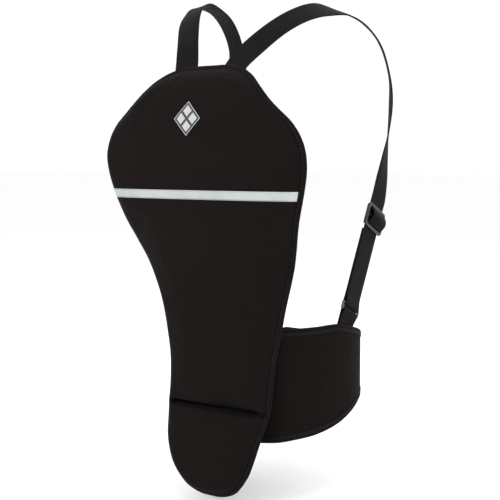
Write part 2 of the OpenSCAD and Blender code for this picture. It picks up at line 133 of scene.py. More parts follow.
def make(name, verts, faces, body, material, uv=None, replaces=(), slot=None):
    """A piece from points in millimetres. uv is a list with one (u, v) for each point."""
    mesh = bpy.data.meshes.new(name)
    mesh.from_pydata([(x * MM, y * MM, z * MM) for x, y, z in verts], [], faces)
    mesh.validate()
    if uv:
        layer = mesh.uv_layers.new(name="cloth")
        for loop in mesh.loops:
            layer.data[loop.index].uv = uv[loop.vertex_index]
    mesh.polygons.foreach_set("use_smooth", [True] * len(mesh.polygons))
    piece = bpy.data.objects.new(name, mesh)
    bpy.context.scene.collection.objects.link(piece)
    for m in material if isinstance(material, (list, tuple)) else [material]:
        mesh.materials.append(m)
    if body:
        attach(piece, body)
    if replaces:
        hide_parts(*replaces)
    return piece


def loft(rings, wrap=False):
    """Faces through rings of equal length, closed at both ends or, with wrap, in a circle."""
    n, m = len(rings[0]), len(rings)
    verts = [p for ring in rings for p in ring]
    faces = []
    for i in range(m if wrap else m - 1):
        k = (i + 1) % m
        for j in range(n):
            q = (j + 1) % n
            faces.append((i * n + j, i * n + q, k * n + q, k * n + j))
    if not wrap:
        faces.append(tuple(reversed(range(n))))
        faces.append(tuple((m - 1) * n + j for j in range(n)))
    return verts, faces


def outward(piece):
    """Turn a closed piece's faces outwards."""
    bm = bmesh.new()
    bm.from_mesh(piece.data)
    bmesh.ops.recalc_face_normals(bm, faces=bm.faces)
    bm.to_mesh(piece.data)
    bm.free()
    return piece


# ---------- materials

class Shader:
    """A material on the Principled shader, with a few helpers for its nodes."""

    def __init__(self, name, rough, sheen=0.0, specular=0.35, metallic=0.0):
        self.m = bpy.data.materials.new(name)
        self.m.use_nodes = True
        self.t = self.m.node_tree
        self.b = self.t.nodes["Principled BSDF"]
        for socket, value in {"Roughness": rough, "Metallic": metallic, "Sheen Weight": sheen,
                              "Specular IOR Level": specular, "Sheen Roughness": 0.45,
                              "Sheen Tint": (0.9, 0.8, 0.75, 1)}.items():
            self.b.inputs[socket].default_value = value

    def feed(self, socket, value):
        """Link another node's output to a socket, or set the socket to a constant."""
        if isinstance(value, bpy.types.NodeSocket):
            self.t.links.new(value, socket)
        else:
            socket.default_value = value

    def put(self, kind, **inputs):
        n = self.t.nodes.new(kind)
        for key, value in inputs.items():
            self.feed(n.inputs[key], value)
        return n

    def calc(self, op, a, b=0.0, c=0.0):
        n = self.t.nodes.new("ShaderNodeMath")
        n.operation = op
        for socket, value in zip(n.inputs, (a, b, c)):
            self.feed(socket, value)
        return n.outputs[0]

    def cloth_axes(self):
        """The cloth's own coordinates across and along, in millimetres."""
        n = self.t.nodes.new("ShaderNodeUVMap")
        n.uv_map = "cloth"
        s = self.put("ShaderNodeSeparateXYZ", Vector=n.outputs[0])
        return s.outputs[0], s.outputs[1]

    def space(self):
        return self.t.nodes.new("ShaderNodeTexCoord").outputs["Object"]

    def wave(self, value, period, phase=0.0):
        """A sine of the given period in millimetres, from 0 to 1."""
        angle = self.calc("MULTIPLY_ADD", value, 2 * math.pi / period, phase)
        return self.calc("MULTIPLY_ADD", self.calc("SINE", angle), 0.5, 0.5)

    def blotch(self, scale, detail=3.0, rough=0.55):
        """Noise in space; scale is in features to the metre."""
        n = self.put("ShaderNodeTexNoise", Vector=self.space(), Scale=scale, Detail=detail,
                     Roughness=rough)
        return n.outputs[0]

    def colours(self, factor, dark, light, low=0.3, high=0.7):
        r = self.put("ShaderNodeValToRGB", Fac=factor)
        r.color_ramp.elements[0].position = low
        r.color_ramp.elements[0].color = (*dark, 1)
        r.color_ramp.elements[1].position = high
        r.color_ramp.elements[1].color = (*light, 1)
        return r.outputs[0]

    def mix(self, factor, a, b):
        """Colour a turning into b; in this node sockets 6, 7 and output 2 are the colours."""
        n = self.t.nodes.new("ShaderNodeMix")
        n.data_type = "RGBA"
        self.feed(n.inputs[0], factor)
        for socket, colour in ((n.inputs[6], a), (n.inputs[7], b)):
            self.feed(socket, (*colour, 1) if isinstance(colour, tuple) else colour)
        return n.outputs[2]

    def share(self, a, b, part):
        """The part of a and the rest of b, added up."""
        return self.calc("MULTIPLY_ADD", a, part, self.calc("MULTIPLY", b, 1 - part))

    def base(self, colour):
        self.t.links.new(colour, self.b.inputs["Base Color"])

    def roughness(self, factor, low, high):
        n = self.put("ShaderNodeMapRange", Value=factor)
        n.inputs["To Min"].default_value = low
        n.inputs["To Max"].default_value = high
        self.t.links.new(n.outputs[0], self.b.inputs["Roughness"])

    def bump(self, height, depth_mm, strength=1.0, under=None):
        n = self.put("ShaderNodeBump", Height=height, Strength=strength)
        n.inputs["Distance"].default_value = depth_mm * MM
        if under:
            self.t.links.new(under, n.inputs["Normal"])
        self.t.links.new(n.outputs[0], self.b.inputs["Normal"])
        return n.outputs[0]


def knit(name, dark, light, column=1.5, row=1.1, sheen=0.02, painted_crease_shade=False):
    """Fine stretch knit bonded to foam: columns of small loops, lint and light rubbing. Optionally,
    painted shade: the point attribute named shade darkens the colour in the crease.
    """
    s = Shader(name, 0.9, sheen, 0.06)
    u, v = s.cloth_axes()
    sway = s.calc("MULTIPLY", s.wave(u, column), 2.6)
    loops = s.wave(s.calc("MULTIPLY_ADD", sway, row / (2 * math.pi), v), row)
    cloth = s.share(s.wave(u, column, 1.2), loops, 0.45)
    lint = s.blotch(900, 2.0)
    patch = s.blotch(14, 4.0)
    heather = s.blotch(330, 2.0, 0.6)
    tone = s.calc("MULTIPLY_ADD", patch, 0.3, s.calc("MULTIPLY_ADD", heather, 0.4,
                                                     s.calc("MULTIPLY", cloth, 0.3)))
    colour = s.colours(tone, dark, light)
    fluff = s.calc("MULTIPLY", s.calc("GREATER_THAN", lint, 0.72), 0.4)
    colour = s.mix(fluff, colour, tuple(2.2 * c for c in light))
    # painted shade: mixes the colour towards near-black where the shade attribute is low, in the
    # crease between the panels
    if painted_crease_shade:
        crease_shade_node = s.t.nodes.new("ShaderNodeAttribute")
        crease_shade_node.attribute_name = "shade"
        colour = s.mix(crease_shade_node.outputs["Fac"], (0.0008, 0.0007, 0.0007), colour)
    s.base(colour)
    s.roughness(patch, 0.82, 0.97)
    soft = s.bump(s.blotch(55, 3.0), 0.5, 0.5)
    s.bump(cloth, 0.16, 0.7, soft)
    return s.m


def webbing(name, dark, light):
    """Elastic webbing: fine ribs along it, with the weft showing between them."""
    s = Shader(name, 0.75, 0.015, 0.07)
    u, v = s.cloth_axes()
    rib = s.calc("ABSOLUTE", s.calc("SINE", s.calc("MULTIPLY", u, math.pi / 1.75)))
    weft = s.wave(v, 1.15, 0.5)
    turn = s.wave(u, 3.5)
    picks = s.calc("MULTIPLY", weft, s.calc("MULTIPLY_ADD", turn, 0.6, 0.4))
    cloth = s.share(rib, picks, 0.6)
    edge = s.calc("GREATER_THAN", s.calc("ABSOLUTE", u), 15.6)
    shade = s.share(s.blotch(60, 3.0), cloth, 0.5)
    s.base(s.mix(s.calc("MULTIPLY", edge, 0.45), s.colours(shade, dark, light),
                 tuple(1.7 * c for c in light)))
    s.roughness(cloth, 0.62, 0.85)
    s.bump(cloth, 0.28, 0.8)
    return s.m


def tape(name, dark, light, pitch=1.3):
    """Ribbed hem and binding tape, with a slight twill."""
    s = Shader(name, 0.8, 0.015, 0.06)
    u, v = s.cloth_axes()
    twill = s.wave(s.calc("ADD", u, v), pitch)
    rib = s.wave(v, 0.8)
    cloth = s.share(twill, rib, 0.6)
    shade = s.share(s.blotch(70, 3.0), cloth, 0.5)
    s.base(s.colours(shade, dark, light))
    s.roughness(cloth, 0.68, 0.88)
    s.bump(cloth, 0.2, 0.8)
    return s.m


def spacer_mesh(name, dark, light, pitch=3.4):
    """Open spacer mesh: staggered round holes over a darker underlayer."""
    s = Shader(name, 0.82, 0.1, 0.35)
    u, v = s.cloth_axes()
    a = s.wave(u, pitch)
    b = s.wave(v, pitch * 0.85)
    c = s.wave(s.calc("ADD", s.calc("MULTIPLY", u, 0.5), s.calc("MULTIPLY", v, 0.6)), pitch * 0.6)
    net = s.calc("MULTIPLY", s.share(a, b, 0.5), s.calc("MULTIPLY_ADD", c, 0.4, 0.6))
    s.base(s.colours(net, dark, light, 0.2, 0.55))
    s.roughness(net, 0.9, 0.72)
    s.bump(net, 0.7, 0.9)
    return s.m


def thread(name, dark, light):
    s = Shader(name, 0.5, 0.05, 0.4)
    s.base(s.colours(s.blotch(1500, 2.0), dark, light))
    s.bump(s.blotch(2600, 2.0), 0.06, 0.6)
    return s.m


def reflective(name):
    """Glass-bead tape: pale grey, finely grained, with a crosswise backing weave."""
    s = Shader(name, 0.42, 0.0, 0.6, 0.25)
    u, v = s.cloth_axes()
    beads = s.blotch(2600, 2.0, 0.7)
    wear = s.blotch(38, 4.0)
    weave = s.calc("MULTIPLY", s.wave(u, 0.9), s.wave(v, 0.9))
    s.base(s.colours(s.share(wear, beads, 0.6), (0.33, 0.36, 0.36), (0.46, 0.49, 0.49)))
    s.roughness(wear, 0.34, 0.55)
    s.bump(s.share(weave, beads, 0.5), 0.08, 0.6)
    return s.m


def embroidery(name, dark, light):
    """Satin stitch: fine parallel threads."""
    s = Shader(name, 0.55, 0.1, 0.45)
    u, v = s.cloth_axes()
    lines = s.wave(s.calc("ADD", u, s.calc("MULTIPLY", v, 0.35)), 0.55)
    s.base(s.colours(s.share(lines, s.blotch(300, 3.0), 0.6), dark, light))
    s.roughness(lines, 0.45, 0.7)
    s.bump(lines, 0.1, 0.7)
    return s.m


def foam(name, dark, light):
    s = Shader(name, 0.85, 0.0, 0.3)
    cells = s.put("ShaderNodeTexVoronoi", Vector=s.space(), Scale=450.0).outputs["Distance"]
    s.base(s.colours(s.share(cells, s.blotch(90), 0.5), dark, light))
    s.roughness(cells, 0.75, 0.95)
    s.bump(cells, 0.5, 0.7)
    return s.m


def moulded(name, dark, light, rough=0.42):
    """Moulded plastic: fine spark-eroded grain and rubbed, slightly shinier patches."""
    s = Shader(name, rough, 0.0, 0.5)
    grain = s.blotch(3200, 2.0, 0.7)
    rub = s.blotch(160, 3.0)
    s.base(s.colours(s.share(rub, grain, 0.7), dark, light))
    s.roughness(rub, rough - 0.1, rough + 0.16)
    s.bump(grain, 0.05, 0.6)
    return s.m


def pile(name, dark, light, scale):
    """Hook or pile strip: a dense field of tiny tufts."""
    s = Shader(name, 0.9, 0.3, 0.25)
    tufts = s.put("ShaderNodeTexVoronoi", Vector=s.space(), Scale=scale).outputs["Distance"]
    s.base(s.colours(tufts, light, dark, 0.15, 0.75))
    s.bump(s.calc("SUBTRACT", 1.0, tufts), 0.6, 0.9)
    return s.m


# the panel covers' knit, with painted shade in the crease
COVER_KNIT = knit("black_knit", (0.0034, 0.0025, 0.0023), (0.0078, 0.0059, 0.0054), painted_crease_shade=True)
BELT_KNIT = knit("black_elastic", (0.0034, 0.0025, 0.0023), (0.0077, 0.0058, 0.0053), 1.9, 1.5)
# SHADE: a near-black knit for the crease gusset, painted shade standing in for the shadow deep in
# the crease
SHADE = knit("gusset_painted_shade", (0.0012, 0.0011, 0.0011), (0.003, 0.0028, 0.0027), 1.5, 1.1, 0.0)
WEBBING = webbing("black_webbing", (0.0027, 0.0022, 0.0021), (0.007, 0.0056, 0.0052))
TAPE = tape("black_tape", (0.0028, 0.0023, 0.0022), (0.0073, 0.0059, 0.0055))
MESH = spacer_mesh("black_spacer_mesh", (0.005, 0.005, 0.0055), (0.035, 0.035, 0.038))
THREAD = thread("black_thread", (0.004, 0.0037, 0.0036), (0.011, 0.0102, 0.01))
REFLECT = reflective("reflective_tape")
PATCH_DARK = embroidery("patch_ground", (0.012, 0.012, 0.013), (0.03, 0.03, 0.032))
PATCH_LIGHT = embroidery("patch_thread", (0.30, 0.31, 0.32), (0.52, 0.53, 0.54))
PLASTIC = moulded("black_plastic", (0.014, 0.014, 0.015), (0.036, 0.036, 0.038))
HOOKS = pile("hook_strip", (0.006, 0.006, 0.006), (0.03, 0.03, 0.03), 1400.0)
PILE = pile("pile_strip", (0.008, 0.008, 0.008), (0.045, 0.045, 0.045), 800.0)

for node, material in {
        "impact_core": foam("impact_foam", (0.55, 0.24, 0.04), (0.8, 0.4, 0.09)),
        "tail_core": foam("tail_foam", (0.55, 0.24, 0.04), (0.8, 0.4, 0.09)),
        "comfort_foam": foam("soft_foam", (0.2, 0.2, 0.22), (0.36, 0.36, 0.38)),
        "stiffener_plate": moulded("plate_sheet", (0.6, 0.6, 0.57), (0.75, 0.75, 0.72)),
        "tail_plate": moulded("tail_plate_sheet", (0.6, 0.6, 0.57), (0.75, 0.75, 0.72)),
        "belt_loop_right": moulded("loop_plastic", (0.03, 0.03, 0.032), (0.07, 0.07, 0.074), 0.3),
        "belt_loop_left": moulded("loop_plastic_left", (0.03, 0.03, 0.032), (0.07, 0.07, 0.074),
                                  0.3)}.items():
    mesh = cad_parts[node].data
    mesh.materials.clear()
    mesh.materials.append(material)


# ---------- padded panels

MAIN_LOW, TAIL_HIGH = CREASE + GAP / 2, CREASE - GAP / 2
TAIL_LIP = 4.2      # radius of the tail cover's edge at the crease
FINE = (0, 0.35, 1.1, 2.3, 4, 6.2, 8.8, 11.6, 14.6)


def spread(low, high, scale, middle):
    """Positions from low to high, close together near both ends."""
    near = [f * scale for f in FINE]
    a, b = low + near[-1], high - near[-1]
    inner = [a + (b - a) * k / middle for k in range(1, middle)]
    return [low + f for f in near] + inner + [high - f for f in reversed(near)]


def panel_grid(edge, low, high, columns, rows):
    """Rows of (x, z) that fill an outline."""
    grid = []
    for z in spread(low, high, 1, rows):
        w = at(edge, z)
        grid.append([(x, z) for x in spread(-w, w, min(1, w / 45), columns)])
    return grid


def side_distance(edge, low, high, outer, points):
    """Distance of each point from the outline's sides and its outer end."""
    zs = np.linspace(low, high, 900)
    ws = np.array([at(edge, z) for z in zs])
    w = at(edge, outer)
    xs = np.linspace(-w, w, 160)
    line = np.concatenate([np.stack([ws, zs], 1), np.stack([-ws, zs], 1),
                           np.stack([xs, np.full_like(xs, outer)], 1)])
    p = np.array(points, dtype=float)
    out = np.empty(len(p))
    for k in range(0, len(p), 400):
        gap = p[k:k + 400, None, :] - line[None, :, :]
        out[k:k + 400] = np.sqrt((gap ** 2).sum(2)).min(1)
    return out


def dome(u):
    u = min(1.0, max(0.0, u))
    return math.sqrt(1 - (1 - u) ** 2)


def grid_faces(rows, columns, start=0, flip=False):
    faces = []
    for i in range(rows - 1):
        for j in range(columns - 1):
            a = start + i * columns + j
            f = (a, a + 1, a + columns + 1, a + columns)
            faces.append(f[::-1] if flip else f)
    return faces


def grid_rim(rows, columns):
    """The grid's border edges, in order, as pairs of points."""
    last = columns - 1
    rim = list(range(columns)) + [i * columns + last for i in range(1, rows)]
    rim += [(rows - 1) * columns + j for j in range(last - 1, -1, -1)]
    rim += [i * columns for i in range(rows - 2, 0, -1)]
    return list(zip(rim, rim[1:] + rim[:1]))


def settle(piece, free, cap, pressure):
    """Air-filled cloth: the free part swells, and moves no further than cap millimetres."""
    pins = piece.vertex_groups.new(name="pins")
    for i, f in enumerate(free):
        if f < 1:
            pins.add([i], 1 - f, "REPLACE")
    cloth = piece.modifiers.new("cloth", "CLOTH")
    s = cloth.settings
    s.quality = 6
    s.mass = 0.25
    s.tension_stiffness = s.compression_stiffness = 22
    s.shear_stiffness = 9
    s.bending_stiffness = 0.6
    s.vertex_group_mass = "pins"
    s.shrink_min = -0.008
    s.use_pressure = True
    s.uniform_pressure_force = pressure
    s.effector_weights.gravity = 0
    cloth.collision_settings.use_collision = False
    cloth.point_cache.frame_start, cloth.point_cache.frame_end = 1, 20
    scene = bpy.context.scene
    for f in range(1, 21):
        scene.frame_set(f)
    view = bpy.context.evaluated_depsgraph_get()
    moved = [v.co.copy() for v in piece.evaluated_get(view).data.vertices]
    piece.modifiers.remove(cloth)
    scene.frame_set(1)
    for v, new in zip(piece.data.vertices, moved):
        step = new - v.co
        if step.length > cap * MM:
            step *= cap * MM / step.length
        v.co += step
    piece.vertex_groups.clear()


def subdivide(piece):
    """One level of smooth subdivision, made part of the mesh."""
    piece.modifiers.new("finer", "SUBSURF").levels = 1
    view = bpy.context.evaluated_depsgraph_get()
    mesh = bpy.data.meshes.new_from_object(piece.evaluated_get(view))
    piece.modifiers.clear()
    piece.data = mesh


def backed(piece, rise):
    """Close an open panel with a back face at a rise above the lining."""
    bm = bmesh.new()
    bm.from_mesh(piece.data)
    rim = [e for e in bm.edges if e.is_boundary]
    made = bmesh.ops.duplicate(bm, geom=bm.verts[:] + bm.edges[:] + bm.faces[:])
    twin = made["vert_map"]
    for v in [g for g in made["geom"] if isinstance(g, bmesh.types.BMVert)]:
        v.co.y = place(v.co.x / MM, v.co.z / MM, rise)[1] * MM
    for e in rim:
        a, b = e.verts
        bm.faces.new((a, b, twin[b], twin[a])).smooth = True
    bmesh.ops.recalc_face_normals(bm, faces=bm.faces)
    bm.to_mesh(piece.data)
    bm.free()


def roll(x):
    """Radius of the main cover's lower edge, which is rounded most right of the middle."""
    return 5 + 8 * math.exp(-((x - 30) / 34) ** 2)


def side_fill(x):
    """The crease fades out towards the sides, from 0 to 1."""
    return smooth((abs(x) - 62) / 10)


def padded_cover(name, edge, low, high, crease, outer, columns, rows, body, node, cap):
    grid = panel_grid(edge, low, high, columns, rows)
    spots = [p for row in grid for p in row]
    sides = side_distance(edge, low, high, outer, spots)
    verts, uv, free, shade = [], [], [], []
    for (x, z), d in zip(spots, sides):
        from_crease = abs(z - crease)
        seam = side_fill(x)
        lip = roll(x) if crease == MAIN_LOW else TAIL_LIP
        filled = seam * dome((from_crease + 0.6) / 1.6)
        form = dome(d / EDGE_ROUND) * (filled + (1 - seam) * dome(from_crease / lip))
        # painted shade for the knit: darker towards the crease within the roll radius, fading out
        # at the sides
        shade.append(1 - 0.8 * (1 - seam) * (1 - smooth(from_crease / lip / 0.85)))
        soft = 0.35 * noise(Vector((x / 38, z / 44, 3.7)))
        soft += 0.12 * noise(Vector((x / 11, z / 13, 9)))
        pucker = 0.22 * math.exp(-((d - 3.5) / 3) ** 2) * noise(Vector((x / 3.2, z / 3.2, 1.3)))
        verts.append(place(x, z, BASE + (PANEL_T - BASE + soft * smooth(d / 20)) * form + pucker))
        uv.append((x, z))
        free.append(smooth((min(d, from_crease) - 1) / 7))
    piece = make(name, verts, grid_faces(len(grid), len(grid[0])), None, COVER_KNIT, uv)
    piece.data.attributes.new("shade", "FLOAT", "POINT").data.foreach_set("value", shade)
    settle(piece, free, cap, 4)
    subdivide(piece)
    backed(piece, 2.4)
    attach(piece, body)
    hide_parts(node)
    return piece


def padded_lining(name, edge, low, high, outer, columns, rows, body, node):
    """Spacer mesh with a stitched seam round it and a sunk channel down the spine."""
    grid = panel_grid(edge, low, high, columns, rows)
    spots = [p for row in grid for p in row]
    sides = side_distance(edge, low, high, outer, spots)
    near, under, uv = [], [], []
    for (x, z), d in zip(spots, sides):
        puff = smooth((d - 5) / 9) * (0.25 + 0.75 * smooth((abs(x) - 3) / 7))
        rib = 0.25 * math.exp(-((d - 5) / 1.2) ** 2)
        ripple = 0.15 * noise(Vector((x / 20, z / 24, 5.1)))
        near.append(place(x, z, 0.4 - 1.9 * puff + rib - ripple * puff))
        under.append(place(x, z, 2.2))
        uv.append((x, z))
    n, m = len(grid), len(grid[0])
    faces = grid_faces(n, m, 0, True) + grid_faces(n, m, n * m)
    faces += [(a, b, b + n * m, a + n * m) for a, b in grid_rim(n, m)]
    piece = make(name, near + under, faces, body, MESH, uv + uv, replaces=(node,),
                 slot="spacer_mesh")
    outward(piece)
    return piece


# ---------- bindings and stitches

def rim_path(edge, start, end, count=150):
    """Points (x, z) up the right side, across the outer end and down the left side."""
    up = []
    for i in range(count + 1):
        z = start + (end - start) * math.sin(math.pi / 2 * i / count)
        up.append((at(edge, z), z))
    w = at(edge, end)
    n = max(4, int(w / 2.5))
    across = [(w * (1 - 2 * j / n), end) for j in range(1, n)]
    return up + across + [(-x, z) for x, z in reversed(up)]


def even(path, pitch):
    """The same path in equal steps."""
    length = [0]
    for a, b in zip(path, path[1:]):
        length.append(length[-1] + math.dist(a, b))
    n = max(2, round(length[-1] / pitch))
    out, k = [], 0
    for i in range(n + 1):
        want = length[-1] * i / n
        while k < len(path) - 2 and length[k + 1] < want:
            k += 1
        t = (want - length[k]) / max(1e-9, length[k + 1] - length[k])
        out.append(tuple(a + (b - a) * t for a, b in zip(path[k], path[k + 1])))
    return out


def rim_frames(edge, start, end, turn, pitch):
    """Points along the rim with their outward directions, smoothed round the corners."""
    path = even(rim_path(edge, start, end), pitch)
    ways = []
    for i in range(len(path)):
        a, b = path[max(0, i - 1)], path[min(len(path) - 1, i + 1)]
        ways.append(Vector((b[1] - a[1], a[0] - b[0])).normalized() * turn)
    for _ in range(3):
        ways = [(ways[max(0, i - 1)] + ways[i] * 2
                 + ways[min(len(ways) - 1, i + 1)]).normalized() for i in range(len(ways))]
    return list(zip(path, ways))


BIND = ((-0.6, 4.4), (-0.7, 5.5), (0.2, 6.2), (1.6, 6.1), (2.9, 5.4), (3.8, 4.2), (4.2, 2.6),
        (3.9, 1.0), (3.0, -0.2), (1.6, -0.9), (-0.4, -1.1), (-3.2, -0.9), (-3.4, -0.2),
        (-1.0, 0.2), (0.6, 1.4), (0.8, 3.0))


def binding(name, edge, start, end, turn, body, node):
    rings, uv, v = [], [], 0
    frames = rim_frames(edge, start, end, turn, 2.4)
    for k, (p, way) in enumerate(frames):
        v += math.dist(p, frames[k - 1][0]) if k else 0
        swell = 1 + 0.05 * noise(Vector((v / 9, 0, 2)))
        ring = []
        for n, (out, rise) in enumerate(BIND):
            out *= swell
            ring.append((p[0] + way.x * out, place(p[0], p[1], rise)[1], p[1] + way.y * out))
            uv.append((n * 1.4, v))
        rings.append(ring)
    return outward(make(name, *loft(rings), body, TAPE, uv, replaces=(node,), slot="binding_black"))


def dashes(name, runs, body, pitch=4.0, length=2.7, radius=0.32, material=None):
    """Stitches: each run is a list of (point, outward direction) in millimetres."""
    verts, faces = [], []
    for run in runs:
        points = [Vector(p) for p, _ in run]
        ups = [Vector(u).normalized() for _, u in run]
        total = [0]
        for a, b in zip(points, points[1:]):
            total.append(total[-1] + (b - a).length)
        spot, k = pitch / 2, 0
        while spot < total[-1] - length / 2:
            while k < len(points) - 2 and total[k + 1] < spot:
                k += 1
            t = (spot - total[k]) / max(1e-9, total[k + 1] - total[k])
            centre = points[k].lerp(points[k + 1], t)
            up = ups[k].lerp(ups[k + 1], t).normalized()
            ahead = (points[k + 1] - points[k]).normalized()
            across = ahead.cross(up).normalized()
            base = len(verts)
            for e, r in ((-0.5, 0.25), (-0.36, 0.9), (0, 1.0), (0.36, 0.9), (0.5, 0.25)):
                lift = radius * (0.35 - 2.4 * e * e)
                for q in range(6):
                    a = math.tau * q / 6
                    verts.append(centre + ahead * (e * length) + across * (radius * r * math.cos(a))
                                 + up * (lift + radius * r * math.sin(a)))
            for i in range(4):
                for q in range(6):
                    n = (q + 1) % 6
                    faces.append((base + i * 6 + q, base + i * 6 + n,
                                  base + i * 6 + 6 + n, base + i * 6 + 6 + q))
            faces.append(tuple(base + q for q in range(5, -1, -1)))
            faces.append(tuple(base + 24 + q for q in range(6)))
            spot += pitch
    return outward(make(name, verts, faces, body, material or THREAD, slot="binding_black"))


def rim_stitches(name, edge, start, end, turn, body, out, rise, up):
    run = []
    for p, way in rim_frames(edge, start, end, turn, 2.0):
        run.append(((p[0] + way.x * out, place(p[0], p[1], rise)[1], p[1] + way.y * out),
                    (way.x * 0.25, up, way.y * 0.25)))
    return dashes(name, [run], body)


cover = padded_cover("panel_cover", MAIN_EDGE, MAIN_LOW, PANEL_TOP, MAIN_LOW, PANEL_TOP,
                     44, 66, "back_panel", "front_cover", 3.5)
padded_cover("tail_pad_cover", TAIL_EDGE, PANEL_LOW, TAIL_HIGH, TAIL_HIGH, PANEL_LOW,
             26, 14, "tail", "tail_cover", 2.5)
padded_lining("panel_lining", MAIN_EDGE, MAIN_LOW, PANEL_TOP, PANEL_TOP, 50, 70,
              "back_panel", "back_lining")
padded_lining("tail_pad_lining", TAIL_EDGE, PANEL_LOW, TAIL_HIGH, PANEL_LOW, 30, 22,
              "tail", "tail_lining")
binding("panel_binding", MAIN_EDGE, MAIN_LOW, PANEL_TOP, 1, "back_panel", "edge_binding")
binding("tail_pad_binding", TAIL_EDGE, TAIL_HIGH, PANEL_LOW, -1, "tail", "tail_binding")
for label, rise, up in (("front", 6.1, -1), ("back", -1.0, 1)):
    rim_stitches(f"panel_stitches_{label}", MAIN_EDGE, MAIN_LOW, PANEL_TOP, 1, "back_panel",
                 0.9, rise, up)
    rim_stitches(f"tail_stitches_{label}", TAIL_EDGE, TAIL_HIGH, PANEL_LOW, -1, "tail",
                 0.9, rise, up)


# ---------- marks on the cover

surface = BVHTree.FromObject(cover, bpy.context.evaluated_depsgraph_get())


def on_cover(x, z):
    """The cover's outer face in front of (x, z), and its normal, in millimetres."""
    hit, normal, _, _ = surface.ray_cast(Vector((x * MM, -0.3, z * MM)), Vector((0, 1, 0)))
    if normal.y > 0:
        normal = -normal
    return hit / MM, normal


def mark(name, grid, material, rise, thick, node, slot, pick=None):
    """A thin closed patch that lies on the cover, from a grid of (x, z)."""
    top, low, uv = [], [], []
    for row in grid:
        for x, z in row:
            p, n = on_cover(x, z)
            top.append(tuple(p + n * (rise + thick)))
            low.append(tuple(p + n * rise))
            uv.append((x, z))
    n, m = len(grid), len(grid[0])
    faces = grid_faces(n, m) + grid_faces(n, m, n * m, True)
    faces += [(b, a, a + n * m, b + n * m) for a, b in grid_rim(n, m)]
    piece = make(name, top + low, faces, "back_panel", material, uv + uv,
                 replaces=(node,), slot=slot)
    if pick:
        for f in piece.data.polygons:
            if f.index < (n - 1) * (m - 1):
                f.material_index = pick(f.index // (m - 1), f.index % (m - 1))
    return outward(piece)


def stripe_row(z):
    w = at(MAIN_EDGE, z) - 0.9
    fine = [w - 0.15 * k * k for k in range(9)]
    inner = [fine[-1] * (1 - 2 * k / 60) for k in range(1, 60)]
    return [(-x, z) for x in fine] + [(-x, z) for x in inner] + [(x, z) for x in reversed(fine)]


mark("reflective_tape", [stripe_row(STRIPE_Z + STRIPE_W * (k / 6 - 0.5)) for k in range(7)],
     REFLECT, 0.12, 0.35, "reflective_stripe", "reflective_grey")

EMBLEM_W, EMBLEM_H, EMBLEM_N = 40, 41, 36


def diamond(size, n):
    """A grid of (x, z) over a diamond round the emblem's middle."""
    return [[((i - j) / n * EMBLEM_W / 2 * size, EMBLEM_Z + (i + j - n) / n * EMBLEM_H / 2 * size)
             for i in range(n + 1)] for j in range(n + 1)]


def emblem_parts(row, column):
    """Border, gap, then an inner field of four smaller diamonds."""
    a, b = (abs(2 * (k + 0.5) / EMBLEM_N - 1) for k in (row, column))
    edge = max(a, b)
    if edge > 0.92:
        return 1
    if edge > 0.78:
        return 0
    return 0 if min(a, b) < 0.09 else 1


mark("emblem_diamond", diamond(1.0, EMBLEM_N), [PATCH_DARK, PATCH_LIGHT], 0.1, 0.55,
     "emblem_patch", "emblem_light", emblem_parts)

stitch_runs = []
for edge_z in (STRIPE_Z - STRIPE_W / 2 + 1, STRIPE_Z + STRIPE_W / 2 - 1):
    run = []
    for x, z in stripe_row(edge_z)[6:-6]:
        p, n = on_cover(x, z)
        run.append((p + n * 0.5, n))
    stitch_runs.append(run)
dashes("stripe_stitches", stitch_runs, "back_panel", 3.2, 2.2, 0.16)

# ---------- crease between the panels


def crease_strip(name, rows, thick, half_width, material, node=None, puckers=0.0):
    """A fabric strip across the crease. Rows are (z, rise, sink), from the main panel to the
    tail; at the sides the strip rises to sink millimetres under the covers' outer face."""
    rings, uv = [], []
    columns = 90
    for j in range(columns + 1):
        x = half_width * (2 * j / columns - 1)
        wave = puckers * noise(Vector((x / 4, 1, 7)))
        fill = side_fill(x) if puckers else 0
        outer, inner = [], []
        for z, r, sink in rows:
            full = BASE + (PANEL_T - BASE) * dome((76 - abs(x)) / EDGE_ROUND) - sink
            top = r + (full - r) * fill + wave
            outer.append((x, place(x, z, top)[1], z))
            inner.append((x, place(x, z, top - thick)[1], z))
        rings.append(outer + inner[::-1])
        uv += [(x, z) for z, _, _ in rows] + [(x, z) for z, _, _ in reversed(rows)]
    piece = outward(make(name, *loft(rings), None, material, uv, slot="binding_black"))
    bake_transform(piece)
    if node:
        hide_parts(node)
    return piece


gusset_rows = [(-65.5, 4.6, 2.2), (-67.5, 4.6, 1.6), (-69.2, 4.4, 0.7), (-70.4, 3.4, 0.5),
               (-72, 2.7, 0.6), (-73.6, 3.4, 0.5), (-74.8, 4.4, 0.7), (-76.5, 4.6, 1.6),
               (-78.5, 4.6, 2.2)]
# the gusset's near-black knit is painted shade in the gap between the panels
crease_strip("crease_gusset", gusset_rows, 0.9, 75.6, SHADE, puckers=0.3)
for side, label in ((1, "right"), (-1, "left")):
    rings, uv = [], []
    for k in range(13):
        z = CREASE + 4.2 - 8.4 * k / 12
        x = at(MAIN_EDGE if z > CREASE else TAIL_EDGE, z)
        slim = 1 - 0.105 * (abs(k - 6) / 6) ** 2
        ring = []
        for n, (out, rise) in enumerate(BIND):
            ring.append((side * (x + out * slim), place(x, z, 2.6 + (rise - 2.6) * slim)[1], z))
            uv.append((n * 1.4, z))
        rings.append(ring)
    bridge = outward(make(f"binding_bridge_{label}", *loft(rings), None, TAPE, uv,
                          slot="binding_black"))
    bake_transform(bridge)
flex_rows = [(z, r, 0) for z, r in ((-56, -0.7), (-58, -1.5), (-64, -1.7), (-69, -1.8),
                                    (-72, -1.85), (-75, -1.8), (-80, -1.7), (-86, -1.5),
                                    (-88, -0.7))]
